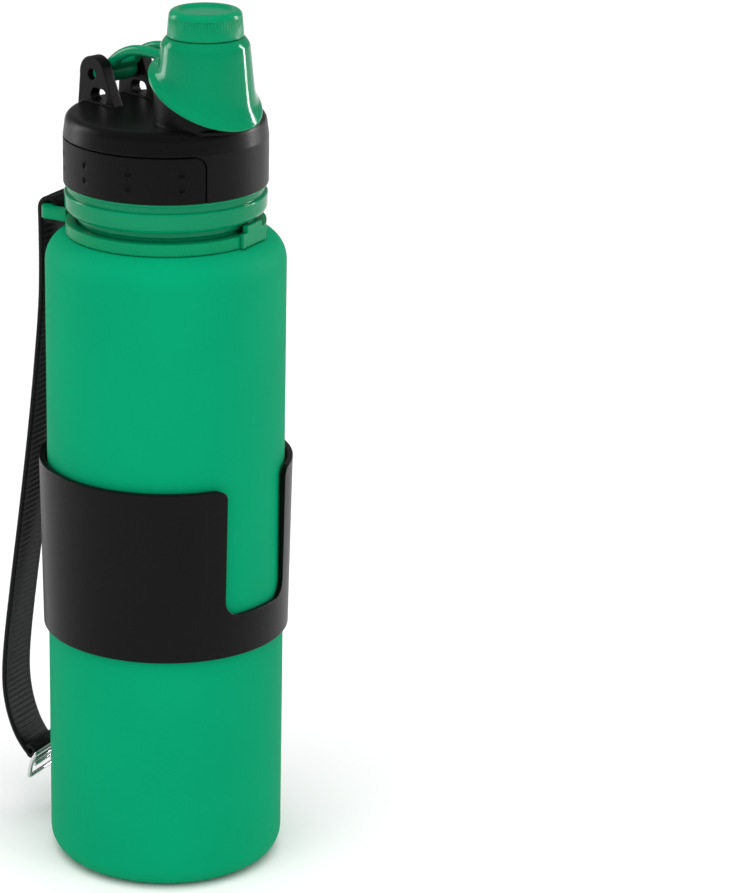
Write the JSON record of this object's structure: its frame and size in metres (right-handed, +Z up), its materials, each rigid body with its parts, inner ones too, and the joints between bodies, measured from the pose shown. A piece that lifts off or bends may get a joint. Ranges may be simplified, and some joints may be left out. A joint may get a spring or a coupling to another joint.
{
  "type": "folding water bottle",
  "caption": "Soft cylindrical drinking bottle with a screw lid, hinged hood over the nozzle, twist knob, rigid sleeve and hanging strap with a wire hook.",
  "frame": {"origin": "centre of the flat base on the bottle's axis", "axes": "+Z up along the bottle's axis, -Y toward the nozzle, +Y toward the hood's hinge"},
  "size_m": [0.0748, 0.0916, 0.2612],
  "materials": {
    "soft_green": "matte silicone",
    "clear_green": "glossy, slightly translucent",
    "green_plastic": "satin",
    "black_plastic": "satin",
    "black_rubber": "matte",
    "seal": "soft matte",
    "webbing": "woven",
    "steel": "polished wire"
  },
  "bodies": {
    "bottle": {"silicone_body": "soft_green", "neck_collar": "clear_green", "strap_ring": "green_plastic"},
    "sleeve": {"sleeve": "black_plastic"},
    "gasket": {"lid_gasket": "seal"},
    "lid": {"lid_shell": "black_plastic", "grip_pad_right": "black_rubber", "grip_pad_left": "black_rubber", "spout_nozzle": "seal"},
    "hood": {"hood": "clear_green"},
    "knob": {"twist_knob": "clear_green", "knob_seal": "seal"},
    "strap": {"strap": "webbing"},
    "hook": {"wire_hook": "steel"}
  },
  "joints": [
    {"name": "sleeve_slide", "type": "slide", "parent": "bottle", "child": "sleeve", "axis": [0, 0, 1], "range_m": [-0.0715, 0.065]},
    {"name": "lid_lift", "type": "slide", "parent": "bottle", "child": "gasket", "axis": [0, 0, 1], "range_m": [0, 0.013]},
    {"name": "lid_turn", "type": "hinge", "parent": "gasket", "child": "lid", "pos_m": [0, 0, 0.215], "axis": [0, 0, 1], "range_deg": [0, 781]},
    {"name": "hood_flip", "type": "hinge", "parent": "lid", "child": "hood", "pos_m": [0, 0.0213, 0.23745], "axis": [-1, 0, 0], "range_deg": [0, 160]},
    {"name": "knob_twist", "type": "hinge", "parent": "hood", "child": "knob", "pos_m": [0, -0.0165, 0.257], "axis": [0, 0, 1], "range_deg": [0, 90]},
    {"name": "strap_swing", "type": "hinge", "parent": "bottle", "child": "strap", "pos_m": [-0.01041, 0.03404, 0.19655], "axis": [0.9563, 0.2924, 0], "range_deg": [0, 100]},
    {"name": "hook_swing", "type": "hinge", "parent": "strap", "child": "hook", "pos_m": [-0.01313, 0.04294, 0.0198], "axis": [0.9563, 0.2924, 0], "range_deg": [-60, 25]}
  ],
  "couplings": [
    {"joint": "lid_turn", "follows": "lid_lift", "rad_per_m": 1047.2}
  ]
}
